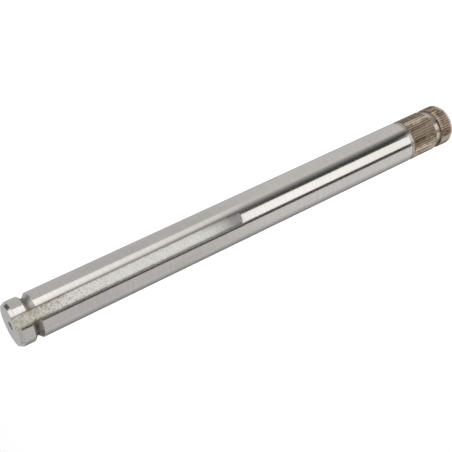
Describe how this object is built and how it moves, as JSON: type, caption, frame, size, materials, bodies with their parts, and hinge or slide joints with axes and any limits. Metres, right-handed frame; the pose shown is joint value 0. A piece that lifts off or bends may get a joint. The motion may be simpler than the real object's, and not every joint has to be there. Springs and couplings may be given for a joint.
{
  "type": "serrated lever shaft",
  "caption": "Round steel shaft with a long keyway and bevelled groove at its plain end, and a fine serration crossed by a ring groove at the other.",
  "frame": {"origin": "centre of the serrated end face, which the shaft stands on", "axes": "+Z along the shaft's axis towards the plain end, -Y out of the keyway"},
  "size_m": [0.016, 0.016, 0.1901],
  "materials": {
    "shaft_steel": "ground body with fine marks around it, a dirty and slightly rusted serration, and a dull milled keyway floor"
  },
  "bodies": {
    "root": {"shaft": "shaft_steel"}
  },
  "joints": []
}
